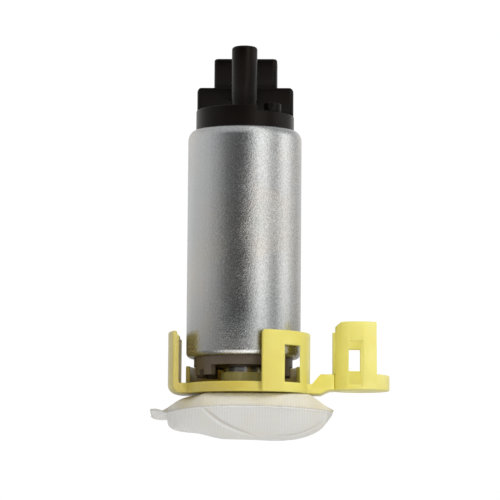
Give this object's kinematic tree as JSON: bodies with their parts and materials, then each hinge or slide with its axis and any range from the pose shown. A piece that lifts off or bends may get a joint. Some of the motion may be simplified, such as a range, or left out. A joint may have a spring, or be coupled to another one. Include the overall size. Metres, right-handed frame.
{
  "type": "in-tank fuel pump",
  "caption": "Electric in-tank fuel pump: steel can with a plastic outlet cap, a clip-on mounting bracket and a mesh inlet strainer.",
  "frame": {"origin": "centre of the steel can on the pump's axis", "axes": "+Z along the pump's axis towards the outlet nipple, -Y to the side with the nipple, +X to the side with the bracket's cup"},
  "size_m": [0.0792, 0.0432, 0.1302],
  "materials": {
    "zinc_steel": "zinc plated, fine spangle",
    "bright_steel": "bright",
    "black_plastic": "moulded, satin",
    "brown_plastic": "moulded, satin",
    "yellow_plastic": "translucent, moulded",
    "natural_plastic": "translucent, glossy",
    "nylon_mesh": "fine woven mesh",
    "brass": "tinned brass",
    "copper": "copper wire",
    "bronze": "sintered bronze",
    "ferrite": "sintered ferrite",
    "lamination": "stacked steel sheet",
    "carbon": "pressed carbon",
    "chamber_plastic": "moulded, matt",
    "valve_rubber": "fuel-proof rubber"
  },
  "bodies": {
    "pump": {"can": "zinc_steel", "end_cap": "black_plastic", "inlet_cover": "brown_plastic", "retaining_ring": "bright_steel", "strainer_frame": "natural_plastic", "strainer_sock": "nylon_mesh", "bracket": "yellow_plastic", "terminal_positive": "brass", "terminal_negative": "brass", "choke_core_left": "ferrite", "choke_core_right": "ferrite", "choke_coil_left": "copper", "choke_coil_right": "copper", "brush_spring_left": "bright_steel", "brush_spring_right": "bright_steel", "pigtail_left": "copper", "pigtail_right": "copper", "upper_bearing": "bronze", "lower_bearing": "bronze", "thrust_pin": "bright_steel", "magnet_left": "ferrite", "magnet_right": "ferrite", "magnet_clip_front": "bright_steel", "magnet_clip_rear": "bright_steel", "pump_casing": "chamber_plastic", "check_valve_spring": "bright_steel", "check_valve_retainer": "natural_plastic", "relief_spring": "bright_steel", "relief_plug": "brass"},
    "rotor": {"rotor_shaft": "bright_steel", "armature_core": "lamination", "armature_windings": "copper", "commutator": "copper", "impeller": "chamber_plastic"},
    "brush_left_body": {"brush_left": "carbon"},
    "brush_right_body": {"brush_right": "carbon"},
    "check_valve_body": {"check_valve": "valve_rubber"},
    "relief_ball_body": {"relief_ball": "bright_steel"}
  },
  "joints": [
    {"name": "rotor_spin", "type": "hinge", "parent": "pump", "child": "rotor", "pos_m": [0, 0, 0], "axis": [0, 0, 1], "continuous": true},
    {"name": "brush_left_slide", "type": "slide", "parent": "pump", "child": "brush_left_body", "axis": [0, 0, 1], "range_m": [0, 0.002], "stiffness_N_per_m": 150, "springref_m": -0.004, "deforming": ["brush_spring_left", "pigtail_left"]},
    {"name": "brush_right_slide", "type": "slide", "parent": "pump", "child": "brush_right_body", "axis": [0, 0, 1], "range_m": [0, 0.002], "stiffness_N_per_m": 150, "springref_m": -0.004, "deforming": ["brush_spring_right", "pigtail_right"]},
    {"name": "check_valve_slide", "type": "slide", "parent": "pump", "child": "check_valve_body", "axis": [0, 0, 1], "range_m": [0, 0.002], "stiffness_N_per_m": 120, "springref_m": -0.003, "deforming": ["check_valve_spring"]},
    {"name": "relief_slide", "type": "slide", "parent": "pump", "child": "relief_ball_body", "axis": [0, 0, 1], "range_m": [0, 0.0006], "stiffness_N_per_m": 1000, "springref_m": -0.0018, "deforming": ["relief_spring"]}
  ]
}
